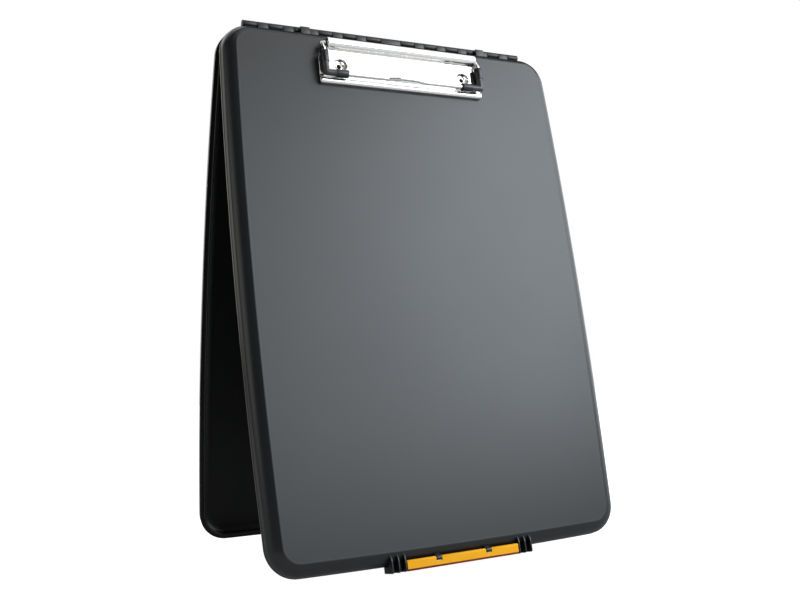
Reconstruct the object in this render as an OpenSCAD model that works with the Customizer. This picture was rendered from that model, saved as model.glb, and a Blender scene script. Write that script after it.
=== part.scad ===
// Slim storage clipboard: two shallow shells on a full-width hinge, standing open like a tent.
// The front shell carries a low-profile clip with a sprung wire bail, and a flip latch that
// snaps into the rear shell's bottom wall when the case is shut.
//
// Each shell is drawn lying flat in a board frame: x across, y up the board with the hinge axis
// at y = 0, and z out from the parting plane. stand_front() and stand_rear() put it upright.

/* [Case] */
// Width of a shell at its corners
case_w = 254; // [240:1:275]
// Height of a shell at its corners, hinge edge to bottom edge
case_h = 356; // [300:1:400]
// Depth of one shell, parting plane to panel face
shell_t = 10.7; // [9.5:0.1:15]
// Thickness of the walls and panels
wall_t = 2.2; // [1.8:0.1:2.8]
// Corner radius seen from the front
corner_r = 19; // [14:0.5:28]
// Radius of the rolled edge between panel and walls
edge_r = 7; // [5.5:0.1:8]
// How far each long side bows out at mid-height
side_bow = 4.1; // [0:0.1:8]
// How far the bottom edge bows down in the middle
bottom_bow = 1.5; // [0:0.1:2.5]
// Lean of the wall between rim and rolled edge, as the distance it draws in
wall_draft = 0.6; // [0.4:0.1:1]
// Height of the bead that runs round the front shell's rim
rim_bead_h = 1; // [0.6:0.1:1.5]
// Lean of each shell from upright where the case stands open, in degrees
lean = 11.2; // [8:0.1:25]

/* [Rim tongue] */
// How far the rear shell's tongue reaches past the parting plane
tongue_h = 1.6; // [1:0.1:2.2]
// Thickness of the tongue
tongue_t = 1.3; // [1:0.1:1.8]
// Gap between the tongue and the front shell's wall
tongue_gap = 0.35; // [0.3:0.05:0.6]

/* [Hinge] */
// Length of the row of knuckles
hinge_w = 220; // [212:1:224]
// Distance from the shells' top edges to the hinge axis
hinge_drop = 3.7; // [3.4:0.1:5]
// Diameter of the knuckles
knuckle_d = 4.7; // [4.3:0.1:5.2]
// Diameter of the steel hinge pin
pin_d = 2; // [1.6:0.1:2.4]
// Length of the front shell's knuckles
knuckle_w = 7.6; // [5:0.1:8.5]
// Length of the long knuckle in the middle
mid_knuckle_w = 15.6; // [10:0.1:18]
// Middle knuckle to the first one beside it, centre to centre
first_pitch = 23.4; // [21:0.1:25]
// Further knuckles, centre to centre
knuckle_pitch = 18.3; // [16:0.1:18.6]
// Running gap between neighbouring knuckles
knuckle_gap = 0.8; // [0.5:0.1:1.2]
// How far the rear shell's knuckles sit to the left within those gaps, from the row's end play
hinge_play = 0.5; // [0:0.1:0.5]
// Width of the two lugs that stop the hinge past flat
stop_w = 6.8; // [4:0.1:8]
// Thickness of those lugs
stop_t = 2.2; // [1.6:0.1:2.8]

/* [Latch] */
// Width of the latch
latch_w = 81.6; // [70:0.2:90]
// Radius of the bead along the latch's pivot edge
latch_bead_r = 1.25; // [1.2:0.05:1.5]
// Thickness of the latch's face plate
latch_face_t = 1.5; // [1.2:0.1:2]
// Thickness of the plate that runs back under the case
latch_sole_t = 1.2; // [0.9:0.1:1.4]
// How far the latch swings open from shut to where it hangs free of the rear shell, in degrees
latch_free = 6.5; // [6:0.1:7.5]
// Width of the two notches in the pivot edge
notch_w = 4.4; // [4:0.1:6]
// Distance of each notch from the middle
notch_x = 18.3; // [12:0.1:28]
// Width of each barb that snaps into the rear shell
barb_w = 8; // [5:0.5:12]
// How far each barb reaches into its slot
barb_h = 0.9; // [0.6:0.05:1]

/* [Brackets] */
// How far the brackets reach below the shells' bottom edges
foot_drop = 3.7; // [3.4:0.1:6]
// Thickness of each fin on a bracket
fin_t = 1.1; // [0.9:0.1:1.8]
// Distance between fins, centre to centre
fin_pitch = 4.6; // [3.5:0.1:6]
// Number of fins on each bracket
fin_count = 3; // [2:1:4]
// Depth of the slots between the fins
fin_slot = 4.5; // [2:0.1:6]

/* [Clip plate] */
// Width of the pressed plate
plate_w = 127.6; // [118:0.2:150]
// Thickness of the sheet
sheet_t = 0.9; // [0.7:0.05:1.2]
// Height of the plate's face above the panel
plate_h = 3.8; // [3.2:0.1:5]
// Distance from the spine's axis to the front of the lip
plate_reach = 28.7; // [27:0.1:36]
// Outer diameter of the rolled spine
spine_d = 8.4; // [7.6:0.1:9.4]
// How far the rolled spine's ends stand in from the plate's sides
spine_inset = 4.8; // [4.8:0.1:12]
// Distance of the spine's axis below the front shell's top edge
spine_drop = 11.7; // [10:0.1:20]
// Distance of each rivet from the plate's sides
rivet_inset = 15.2; // [13.8:0.1:22]
// Distance of the rivets from the spine's axis
rivet_reach = 15.3; // [14:0.1:16]
// Diameter of the dimples round the rivets, at the plate's face
dimple_d = 10; // [8.5:0.1:11]
// Diameter of a rivet's shank
rivet_d = 4; // [3:0.1:4.4]

/* [Clip bail] */
// Diameter of the bail's wire
wire_d = 2.9; // [2.4:0.1:3.2]
// How far the bail's legs stand in from the plate's sides, to their centre lines
bail_inset = 3.1; // [0.9:0.1:3.1]
// Distance from the spine's axis to the bail's front run
bail_reach = 23; // [21:0.1:24]
// Radius of the bail's front corners
bail_corner_r = 3; // [2.5:0.1:4]
// Height of the thumb lift in the front run
lift_h = 2.2; // [1:0.1:4]
// Outer diameter of the rubber grips
grip_d = 5.6; // [4.8:0.1:6]
// Length of each grip along the front run, from the leg's centre line
grip_foot = 15.7; // [13:0.1:30]
// Distance from the spine's axis to the grips' rear ends
grip_start = 7.5; // [7:0.1:9]
// Diameter of the torsion spring's wire
spring_wire_d = 0.8; // [0.5:0.05:0.9]
// Number of coils in the torsion spring
spring_turns = 14; // [6:1:20]

/* [Hidden] */
$fn = 48;

// Clearances
pin_clear = 0.05;        // radial, a pin or rivet in its hole
soft_clear = 0.3;        // between pieces that pass or rest on each other
latch_side_gap = 0.6;    // latch to bracket, each side
latch_roll_gap = 0.8;    // latch bead to rolled edge
parting_gap = 0.4;       // brackets and hinge webs to the parting plane
bite = 1.1;              // how far features sink into the wall that carries them

// Points round a shell's outline and round its rolled edge
corner_steps = 7;
side_steps = 11;
bottom_steps = 7;
roll_steps = 6;

// Case, measured down the board from the hinge axis
top_s = hinge_drop;
corner_bottom_s = hinge_drop + case_h;
bottom_s = corner_bottom_s + bottom_bow;
foot_s = bottom_s + foot_drop;
roll_z = shell_t - edge_r;
roll_s = bottom_s - wall_draft - edge_r;
bead_step = 0.35;

// Hinge
knuckle_r = knuckle_d / 2;
side_knuckles = 5;
pin_end = 1.4;
stop_places = [-66.9, 73.8];
stop_rise = 1.1;

// Latch pivot: off the rolled edge of the bottom wall, about halfway round it
pivot_out = edge_r + latch_roll_gap + latch_bead_r;
pivot_turn = 50;                     // round the rolled edge, from straight down to the front
pivot_s = roll_s + pivot_out * cos(pivot_turn);
pivot_z = roll_z + pivot_out * sin(pivot_turn);
pivot_rod_r = 0.8;
hook_r = 1.35;
hook_w = notch_w - 2 * (soft_clear + 0.1);
hook_mouth = 1.2;
notch_depth = hook_r + soft_clear;
bracket_x = latch_w / 2 + latch_side_gap;
bracket_front = pivot_z + latch_bead_r + 0.1;
latch_face_s = foot_s - 0.1;
barb_t = 1;
barb_z = -2.2;                       // near face of the barbs, behind the parting plane
barb_tip_s = bottom_s - barb_h;
sole_end_s = bottom_s + 1.3;
slot_clear = 0.35;

// Brackets
fin_nose_r = 1.4;
fin_rise_s = 3.2;                    // where the fins' fronts stand clear of the rolled edge
fin_rise_r = 5;
core_reach = 10;                     // how far the wall's middle line is drawn up the board

// Clip, measured from the spine's axis: a along the board, h above the panel
spine_r = spine_d / 2;
spine_mid_r = spine_r - sheet_t / 2;
spine_h = spine_r + soft_clear;
spine_w = plate_w - 2 * spine_inset;
spine_end_t = 1.2;
spine_end_in = 1;                    // how far the end walls stand inside the spine's ends
rivet_x = plate_w / 2 - rivet_inset;
curl_from = 312;                     // where the spine's curl ends, round its axis
foot_bend = 1.5;                     // bend radii of the sheet, from the spine to the valley
plate_mid_h = plate_h - sheet_t / 2;
valley_entry_r = 2;
valley_floor_r = 1.6;
valley_exit_r = 1.2;
lip_bend = 1.7;
shoulder_run = 7.6;                  // start of the valley to the lip
valley_depth = 1.75;
valley_run = 2.3;
plan_corner_r = 1.6;
margin_a = 9.2;                      // rear ends of the plate's margins and skirts
skirt_front = 2;
wire_r = wire_d / 2;
grip_r = grip_d / 2;
grip_elbow_r = grip_r - 0.5;
elbow_leg = 7.4;                     // how far a grip's thinner elbow runs up the leg
elbow_foot = 7.2;                    // and along the front run
grip_round = 0.3;
grip_sides = 20;
bail_h = plate_h + soft_clear + grip_r;
bail_x = plate_w / 2 - bail_inset;
leg_bend_a = 5;
leg_bend_r = 4;
lift_outer_x = 14.5;
lift_inner_x = 5.5;
lift_bend_r = 6;
elbow_r = 1.8;
wire_start = spine_w / 2 - spine_end_in / 2;  // where the bent wire leaves the straight rear run
wire_sink = 0.1;
dimple_floor_r = 3.2;
rivet_head_r = 2.9;
rivet_head_h = 0.8;
rivet_flange_r = 3.2;
rivet_flange_t = 0.7;
spring_r = wire_r + pin_clear + 0.25 + spring_wire_d / 2;
spring_pitch = spring_wire_d + 0.25;

// ---- Standing the shells up ----

axis_z = cos(lean) * foot_s - sin(lean) * parting_gap;

module stand_front() {
    translate([0, 0, axis_z]) rotate([-lean, 0, 0]) rotate([90, 0, 0]) children();
}

module stand_rear() {
    translate([0, 0, axis_z]) rotate([lean, 0, 0]) mirror([0, 1, 0]) rotate([90, 0, 0]) children();
}

// A (y, z) profile drawn out along x
module across(x0, x1) {
    translate([x0, 0, 0]) rotate([90, 0, 90]) linear_extrude(x1 - x0) children();
}

// A round bar along x
module bar(x0, x1, r) {
    translate([x0, 0, 0]) rotate([0, 90, 0]) cylinder(h = x1 - x0, r = r);
}

module both_sides() {
    children();
    mirror([1, 0, 0]) children();
}

// ---- Paths and sweeps ----

function unit(v) = v / norm(v);

// Points along a bend of radius r at b, on the way from a to c
function bend(a, b, c, r, steps) =
    let (
        u = unit(a - b),
        v = unit(c - b),
        half = acos(u * v) / 2,
        centre = b + unit(u + v) * r / sin(half),
        from = b + u * r / tan(half) - centre,
        to = b + v * r / tan(half) - centre,
        turn = 180 - 2 * half
    )
    [for (k = [0:steps]) centre
        + (sin(turn * (1 - k / steps)) * from + sin(turn * k / steps) * to) / sin(turn)];

// A path through corners given as [point, bend radius]
function bent_path(corners, steps) =
    let (last = len(corners) - 1)
    concat(
        [corners[0][0]],
        [for (i = [1:last - 1])
            each bend(corners[i - 1][0], corners[i][0], corners[i + 1][0], corners[i][1], steps)],
        [corners[last][0]]
    );

function tangent(path, i) = unit(path[min(i + 1, len(path) - 1)] - path[max(i - 1, 0)]);

function carried(path, i, n) =
    i == len(path) ? [] :
    let (t = tangent(path, i), m = unit(n - (n * t) * t))
    concat([m], carried(path, i + 1, m));

// One closed ring of points round each point of a path
function tube_rings(path, radii, start_normal, sides) =
    let (normals = carried(path, 0, start_normal))
    [for (i = [0:len(path) - 1])
        let (n = normals[i], b = cross(tangent(path, i), n))
        [for (k = [0:sides - 1])
            path[i] + radii[i] * (cos(360 * k / sides) * n + sin(360 * k / sides) * b)]];

// A solid skinned over a list of rings with flat ends
module skin(rings) {
    sides = len(rings[0]);
    last = len(rings) - 1;
    polyhedron(
        points = [for (ring = rings) each ring],
        faces = concat(
            [[for (k = [0:sides - 1]) k]],
            [[for (k = [sides - 1:-1:0]) last * sides + k]],
            [for (i = [0:last - 1], k = [0:sides - 1])
                [i * sides + k, (i + 1) * sides + k, (i + 1) * sides + (k + 1) % sides]],
            [for (i = [0:last - 1], k = [0:sides - 1])
                [i * sides + k, (i + 1) * sides + (k + 1) % sides, i * sides + (k + 1) % sides]]
        )
    );
}

// A strip of sheet of even thickness along a path in its own plane, as an outline
function strip(path, thickness) =
    let (
        side = [for (i = [0:len(path) - 1])
            let (t = tangent(path, i)) [-t[1], t[0]] * thickness / 2]
    )
    concat(
        [for (i = [0:len(path) - 1]) path[i] + side[i]],
        [for (i = [len(path) - 1:-1:0]) path[i] - side[i]]
    );

// ---- Shell outline ----

// The outline bows out along the long sides and, towards the bottom, along the bottom edge
function bowed(p) =
    let (
        down = (-p[1] - top_s) / case_h,
        along = p[0] / (case_w / 2)
    )
    [p[0] + along * side_bow * (1 - pow(2 * down - 1, 2)),
     p[1] - bottom_bow * (1 - along * along) * down];

function corner_arc(x, y, r, start) =
    [for (k = [0:corner_steps])
        [x + r * cos(start + 90 * k / corner_steps), y + r * sin(start + 90 * k / corner_steps)]];

function between(p, q, steps) = [for (k = [1:steps - 1]) p + (q - p) * k / steps];

// Outline drawn in by an inset, anticlockwise from the top left corner
function outline(inset) =
    let (
        x = case_w / 2 - corner_r,
        r = corner_r - inset,
        y_top = -(top_s + corner_r),
        y_bottom = -(corner_bottom_s - corner_r)
    )
    [for (p = concat(
        corner_arc(-x, y_top, r, 90),
        between([-x - r, y_top], [-x - r, y_bottom], side_steps),
        corner_arc(-x, y_bottom, r, 180),
        between([-x, y_bottom - r], [x, y_bottom - r], bottom_steps),
        corner_arc(x, y_bottom, r, 270),
        between([x + r, y_bottom], [x + r, y_top], side_steps),
        corner_arc(x, y_top, r, 0)
    )) bowed(p)];

function rim_ring(inset, z) = [for (p = outline(inset)) [p[0], p[1], z]];

function rolled(r, angle) = rim_ring(wall_draft + edge_r - r * cos(angle), roll_z + r * sin(angle));

function inner_rings() =
    [for (k = [roll_steps:-1:0]) rolled(edge_r - wall_t, 90 * k / roll_steps)];

function outer_rings() =
    [for (k = [0:roll_steps]) rolled(edge_r, 90 * k / roll_steps)];

function bead_rings() =
    [rim_ring(0, 0), rim_ring(0, rim_bead_h), rim_ring(bead_step, rim_bead_h + bead_step)];

function tongue_rings() =
    let (
        outer = wall_t + tongue_gap,
        inner = outer + tongue_t,
        root_z = min(roll_z - 0.6, 2.4)
    )
    [rim_ring(inner, root_z), rim_ring(inner, -tongue_h + bead_step),
     rim_ring(inner - bead_step, -tongue_h), rim_ring(outer + bead_step, -tongue_h),
     rim_ring(outer, -tongue_h + bead_step), rim_ring(outer, 0)];

// ---- Hinge ----

function knuckle_x(k) = first_pitch + (k - 1) * knuckle_pitch;

function front_end(k) = k == 0 ? mid_knuckle_w / 2 : knuckle_x(k) + knuckle_w / 2;

function rear_span(k) =
    [front_end(k) + knuckle_gap,
     k == side_knuckles ? hinge_w / 2 : knuckle_x(k + 1) - knuckle_w / 2 - knuckle_gap];

// A knuckle with the web that carries it on the shell's top wall
module knuckle(x0, x1) {
    bar(x0, x1, knuckle_r);
    across(x0, x1)
        polygon([[0, parting_gap], [0, knuckle_r], [-top_s - bite, knuckle_r],
                 [-top_s - bite, parting_gap]]);
}

module pin_bore(x0, x1) {
    bar(x0, x1, pin_d / 2 + pin_clear);
}

module front_knuckles() {
    knuckle(-mid_knuckle_w / 2, mid_knuckle_w / 2);
    both_sides() for (k = [1:side_knuckles])
        knuckle(knuckle_x(k) - knuckle_w / 2, knuckle_x(k) + knuckle_w / 2);
}

module rear_knuckles() {
    translate([-hinge_play, 0, 0]) both_sides() for (k = [0:side_knuckles])
        knuckle(rear_span(k)[0], rear_span(k)[1]);
}

// Lugs on the front shell that meet the rear shell once the case is opened past flat
module stop_lugs() {
    inner_z = knuckle_r + soft_clear + 0.05;
    for (x = stop_places) across(x - stop_w / 2, x + stop_w / 2)
        polygon([[stop_rise, inner_z], [stop_rise, inner_z + stop_t - 0.5],
                 [stop_rise - 0.5, inner_z + stop_t], [-top_s - bite - 0.6, inner_z + stop_t],
                 [-top_s - bite, inner_z]]);
}

module hinge_pin() color("silver") stand_front() {
    bar(-hinge_w / 2 + pin_end + soft_clear, hinge_w / 2 - hinge_play - 0.2, pin_d / 2);
}

// ---- Brackets beside the latch, which are also the feet of each shell ----

// The wall's middle line in section, so that brackets stop inside the wall
module wall_core() {
    translate([-roll_s, roll_z]) circle(r = edge_r - bite);
    translate([-roll_s, -1]) square([edge_r, roll_z + 1]);
    translate([-(bottom_s - bite), -1]) square([edge_r, roll_z + 1]);
    translate([-roll_s, -1]) square([core_reach, shell_t - bite + 1]);
}

module fin_profile(front) {
    root = [-roll_s, min(front, shell_t - bite / 2)];
    difference() {
        polygon(concat(
            [[-foot_s, parting_gap], [-roll_s, parting_gap], root],
            front > shell_t
                ? bend(root, [-(roll_s + fin_rise_s), front], [-foot_s, front], fin_rise_r, 6)
                : [],
            bend([-roll_s, front], [-foot_s, front], [-foot_s, parting_gap], fin_nose_r, 6)
        ));
        wall_core();
    }
}

module bracket() {
    fin_span = (fin_count - 1) * fin_pitch + fin_t;
    for (k = [0:fin_count - 1])
        across(bracket_x + k * fin_pitch, bracket_x + k * fin_pitch + fin_t)
            fin_profile(bracket_front);
    across(bracket_x + fin_t / 2, bracket_x + fin_span - fin_t / 2)
        fin_profile(bracket_front - fin_slot);
}

// ---- Shells ----

// A hook on the front shell that snaps over the latch's pivot rod in a notch
module latch_hook() {
    reach = pivot_out - edge_r + bite;
    across(notch_x - hook_w / 2, notch_x + hook_w / 2) translate([-pivot_s, pivot_z]) difference() {
        union() {
            circle(r = hook_r);
            rotate(-pivot_turn) translate([0, -hook_r * 0.7]) square([reach, hook_r * 1.4]);
        }
        circle(r = pivot_rod_r + pin_clear);
        translate([-hook_r * 2, -hook_mouth / 2]) square([hook_r * 2, hook_mouth]);
    }
}

module rivet_holes() {
    both_sides() translate([rivet_x, -(top_s + spine_drop + rivet_reach), 0])
        cylinder(h = shell_t + 1, r = rivet_d / 2 + pin_clear);
}

module front_shell() color("#3a3d40") stand_front() {
    difference() {
        union() {
            skin(concat(inner_rings(), [rim_ring(wall_t, 0)], bead_rings(), outer_rings()));
            front_knuckles();
            stop_lugs();
            both_sides() bracket();
            both_sides() latch_hook();
        }
        pin_bore(-hinge_w / 2, hinge_w / 2);
        translate([0, -pivot_s, pivot_z])
            both_sides() bar(bracket_x - 1, bracket_x + fin_t + 1, pivot_rod_r + pin_clear);
        rivet_holes();
    }
}

// A slot through the rear shell's bottom wall that takes one of the latch's barbs
module barb_slot() {
    near = -barb_z - slot_clear;
    far = -barb_z + barb_t + slot_clear;
    translate([notch_x - barb_w / 2 - slot_clear, -(bottom_s + 1), near])
        cube([barb_w + 2 * slot_clear, wall_t + 2, far - near]);
}

module rear_shell() color("#2c2e31") stand_rear() {
    difference() {
        union() {
            skin(concat(inner_rings(), tongue_rings(),
                        [rim_ring(0, 0), rim_ring(bead_step, roll_z / 2)], outer_rings()));
            rear_knuckles();
            both_sides() bracket();
        }
        pin_bore(-hinge_w / 2 + pin_end, hinge_w / 2 + 1);
        both_sides() barb_slot();
    }
}

// ---- Latch ----

// Turn about the latch's pivot, opening positive
module about_pivot(angle) {
    translate([-pivot_s, pivot_z]) rotate(angle) translate([pivot_s, -pivot_z]) children();
}

// Face plate and pivot bead, upright where the latch hangs free
module latch_face() {
    face_back = pivot_z + latch_bead_r - latch_face_t;
    translate([-pivot_s, pivot_z]) circle(r = latch_bead_r);
    polygon(concat(
        [[-pivot_s, face_back], [-latch_face_s, face_back]],
        bend([-latch_face_s, face_back], [-latch_face_s, pivot_z + latch_bead_r],
             [-pivot_s, pivot_z + latch_bead_r], 0.6, 4),
        [[-pivot_s, pivot_z + latch_bead_r]]
    ));
}

// Sole plate in its shut place, running back past the parting plane
module latch_sole() {
    front_z = pivot_z + latch_bead_r - latch_face_t + 0.4;
    end_z = barb_z - barb_t;
    polygon([[-latch_face_s + 0.1, front_z], [-latch_face_s + 0.1 + latch_sole_t, front_z],
             [-sole_end_s + latch_sole_t, end_z], [-sole_end_s, end_z]]);
}

module latch_barb() {
    end_z = barb_z - barb_t;
    polygon([[-sole_end_s, barb_z], [-sole_end_s, end_z], [-barb_tip_s - 0.3, end_z],
             [-barb_tip_s, end_z + 0.4], [-barb_tip_s, barb_z]]);
}

module latch() color("#f0a818") stand_front() {
    difference() {
        across(-latch_w / 2, latch_w / 2) {
            latch_face();
            about_pivot(-latch_free) latch_sole();
        }
        both_sides() across(notch_x - notch_w / 2, notch_x + notch_w / 2)
            translate([-pivot_s - notch_depth, pivot_z - 3]) square([notch_depth + 3, 6]);
    }
    both_sides() across(notch_x - barb_w / 2, notch_x + barb_w / 2)
        about_pivot(-latch_free) latch_barb();
    translate([0, -pivot_s, pivot_z])
        bar(-bracket_x - fin_t, bracket_x + fin_t, pivot_rod_r);
}

// ---- Clip plate ----

module on_panel() {
    stand_front() translate([0, -(top_s + spine_drop), shell_t]) children();
}

// Middle line of the sheet in section: rolled spine, flat, valley, lip
function plate_path() =
    let (
        foot_rise = plate_mid_h + foot_bend - spine_h,
        foot_out = sqrt(pow(spine_mid_r + foot_bend, 2) - pow(foot_rise, 2)),
        foot_angle = atan2(foot_rise, foot_out),
        lip_a = plate_reach - sheet_t / 2,
        shoulder_a = lip_a - shoulder_run,
        curl_steps = 22
    )
    concat(
        [for (k = [0:curl_steps])
            let (angle = curl_from + (foot_angle - curl_from) * k / curl_steps)
            [-spine_mid_r * cos(angle), spine_h + spine_mid_r * sin(angle)]],
        [for (k = [1:4])
            let (angle = 180 + foot_angle + (90 - foot_angle) * k / 4)
            [-(foot_out + foot_bend * cos(angle)), plate_mid_h + foot_bend + foot_bend * sin(angle)]],
        bend([-foot_out, plate_mid_h], [-shoulder_a, plate_mid_h],
             [-shoulder_a - valley_run, plate_mid_h - valley_depth], valley_entry_r, 4),
        bend([-shoulder_a, plate_mid_h], [-shoulder_a - valley_run, plate_mid_h - valley_depth],
             [-shoulder_a - 2 * valley_run, plate_mid_h], valley_floor_r, 6),
        bend([-shoulder_a - valley_run, plate_mid_h - valley_depth],
             [-shoulder_a - 2 * valley_run, plate_mid_h], [-lip_a, plate_mid_h], valley_exit_r, 3),
        bend([-shoulder_a - 2 * valley_run, plate_mid_h], [-lip_a, plate_mid_h], [-lip_a, 0],
             lip_bend, 6),
        [[-lip_a, 0]]
    );

// The sheet seen from the front: behind its margins it narrows to the spine, clear of the bail
module plate_plan() {
    r = plan_corner_r;
    translate([-spine_w / 2, -margin_a - 1]) square([spine_w, margin_a + 1 + spine_r + 1]);
    translate([-plate_w / 2, -plate_reach + r]) square([plate_w, plate_reach - r - margin_a]);
    translate([-plate_w / 2 + r, -plate_reach - 1]) square([plate_w - 2 * r, r + 2]);
    both_sides() translate([plate_w / 2 - r, -plate_reach + r]) circle(r = r);
}

module sheet() {
    intersection() {
        across(-plate_w / 2, plate_w / 2) polygon(strip(plate_path(), sheet_t));
        translate([0, 0, -1]) linear_extrude(spine_h + spine_r + 2) plate_plan();
    }
}

// Pressed-down dimple that brings the sheet to the panel round a rivet
module dimple() {
    rim_r = dimple_d / 2;
    rotate_extrude() polygon([
        [rivet_d / 2 + pin_clear, 0], [dimple_floor_r, 0], [rim_r, plate_h - sheet_t],
        [rim_r + 0.4, plate_h - sheet_t], [rim_r + 0.4, plate_h], [rim_r - sheet_t / 4, plate_h],
        [dimple_floor_r - sheet_t / 3, sheet_t], [rivet_d / 2 + pin_clear, sheet_t]
    ]);
}

// Side skirts from the plate's margins down to the panel
module skirt() {
    translate([plate_w / 2 - sheet_t, -plate_reach + skirt_front, 0])
        cube([sheet_t, plate_reach - skirt_front - margin_a, plate_mid_h]);
}

// End wall a little inside the rolled spine, with the hole that the bail turns in
module spine_end() {
    x = spine_w / 2 - spine_end_in;
    translate([0, 0, spine_h]) bar(x - spine_end_t, x, spine_mid_r);
}

module clip_plate() color("#d9dcdf") on_panel() {
    difference() {
        union() {
            difference() {
                sheet();
                both_sides() translate([rivet_x, -rivet_reach, -1])
                    cylinder(h = plate_h + 2, r = dimple_d / 2);
            }
            both_sides() translate([rivet_x, -rivet_reach, 0]) dimple();
            both_sides() skirt();
            both_sides() spine_end();
        }
        translate([0, 0, spine_h]) bar(-spine_w, spine_w, wire_r + pin_clear);
    }
}

// Tubular rivet: head in the dimple, shank through the panel, rolled flange inside the case
module rivet(side) color("#c9ccd0") on_panel() translate([side * rivet_x, -rivet_reach, 0]) {
    bore_r = 1.1;
    inside = -wall_t - rivet_flange_t;
    rotate_extrude() polygon([
        [bore_r, inside], [rivet_flange_r - 0.3, inside], [rivet_flange_r, inside + 0.3],
        [rivet_flange_r, -wall_t], [rivet_d / 2, -wall_t], [rivet_d / 2, sheet_t],
        [rivet_head_r, sheet_t], [rivet_head_r, sheet_t + 0.2],
        [rivet_head_r - 0.5, sheet_t + rivet_head_h - 0.1],
        [bore_r + 0.4, sheet_t + rivet_head_h], [bore_r, sheet_t + rivet_head_h - 0.3]
    ]);
}

// ---- Bail, its grips and its spring ----

// The bail's wire from one end of the spine round to the other
function bail_corners() = [
    [[-wire_start, 0, spine_h], 0],
    [[-bail_x, 0, spine_h], elbow_r],
    [[-bail_x, -leg_bend_a, bail_h], leg_bend_r],
    [[-bail_x, -bail_reach, bail_h], bail_corner_r],
    [[-lift_outer_x, -bail_reach, bail_h], lift_bend_r],
    [[-lift_inner_x, -bail_reach, bail_h + lift_h], lift_bend_r],
    [[lift_inner_x, -bail_reach, bail_h + lift_h], lift_bend_r],
    [[lift_outer_x, -bail_reach, bail_h], lift_bend_r],
    [[bail_x, -bail_reach, bail_h], bail_corner_r],
    [[bail_x, -leg_bend_a, bail_h], leg_bend_r],
    [[bail_x, 0, spine_h], elbow_r],
    [[wire_start, 0, spine_h], 0]
];

// The bent wire, whose two ends sink into the straight rear run that turns in the spine
module clip_bail() color("#d0d3d7") on_panel() {
    path = bent_path(bail_corners(), 6);
    last = len(path) - 1;
    radii = [for (i = [0:last]) i == 0 || i == last ? wire_r - 0.05 : wire_r];
    skin(tube_rings(path, radii, [0, 0, 1], 14));
    rear_end = wire_start + wire_sink;
    translate([0, 0, spine_h]) bar(-rear_end, rear_end, wire_r);
}

// The stretch of wire inside a grip, on the right-hand side
function grip_path() = bent_path([
    [[bail_x, -grip_start + 1, bail_h], 0],
    [[bail_x, -bail_reach, bail_h], bail_corner_r],
    [[bail_x - grip_foot - 1, -bail_reach, bail_h], 0]
], 8);

// Rings of a grip's elbow, which turns about a line near its inner corner and is squarer outside
function elbow_rings(corner) =
    let (q = grip_elbow_r + 0.15)
    [for (turn = [0:15:90])
        let (
            out = [cos(turn), -sin(turn), 0],
            square = 1 / pow(pow(cos(turn), 4) + pow(sin(turn), 4), 1 / 4)
        )
        [for (k = [0:grip_sides - 1])
            let (angle = 360 * k / grip_sides)
            corner + [-q, q, 0] + (q - grip_elbow_r * sin(angle)) * square * out
                + [0, 0, grip_elbow_r * cos(angle)]]];

// Moulded in one: a sleeve on the leg, a thinner square elbow, and a sleeve on the front run
module grip() {
    corner = [bail_x, -bail_reach, bail_h];
    leg_start = [bail_x, -grip_start, bail_h];
    leg_end = corner + [0, elbow_leg, 0];
    foot_start = corner - [elbow_foot, 0, 0];
    foot_end = corner - [grip_foot, 0, 0];
    back = [0, grip_round, 0];
    side = [grip_round, 0, 0];
    path = grip_path();
    difference() {
        skin(concat(
            tube_rings([leg_start, leg_start - back, leg_end + back, leg_end],
                       [grip_r - grip_round, grip_r, grip_r, grip_elbow_r], [0, 0, 1], grip_sides),
            elbow_rings(corner),
            tube_rings([foot_start, foot_start - side, foot_end + side, foot_end],
                       [grip_elbow_r, grip_r, grip_r, grip_r - grip_round], [0, 0, 1], grip_sides)
        ));
        skin(tube_rings(path, [for (p = path) wire_r + pin_clear], [0, 0, 1], 14));
    }
}

module grip_left() color("#1c1d1f") on_panel() mirror([1, 0, 0]) grip();

module grip_right() color("#1c1d1f") on_panel() grip();

// Torsion spring round the bail's rear run, inside the spine, its two ends straight
module clip_spring() color("#9a9da2") on_panel() translate([0, 0, spine_h]) {
    steps = 8;
    half = spring_turns * spring_pitch / 2;
    leg = sqrt(pow(spine_r - sheet_t - spring_wire_d / 2 - 0.1, 2) - pow(spring_r, 2));
    coil = [for (k = [0:spring_turns * steps])
        let (angle = 360 * k / steps)
        [-half + spring_pitch * k / steps, spring_r * cos(angle), spring_r * sin(angle)]];
    path = concat([coil[0] - [0, 0, leg]], coil, [coil[len(coil) - 1] + [0, 0, leg]]);
    skin(tube_rings(path, [for (p = path) spring_wire_d / 2], [1, 0, 0], 6));
}

front_shell();
rear_shell();
hinge_pin();
latch();
clip_plate();
rivet(-1);  // rivet_left
rivet(1);  // rivet_right
clip_spring();
clip_bail();
grip_left();
grip_right();
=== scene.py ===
"""Dresses the slim storage clipboard: moulded shells, pressed clip, wire bail and flip latch."""
import contextlib
import math

import bmesh
import bpy
from mathutils import Matrix, Vector


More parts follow.
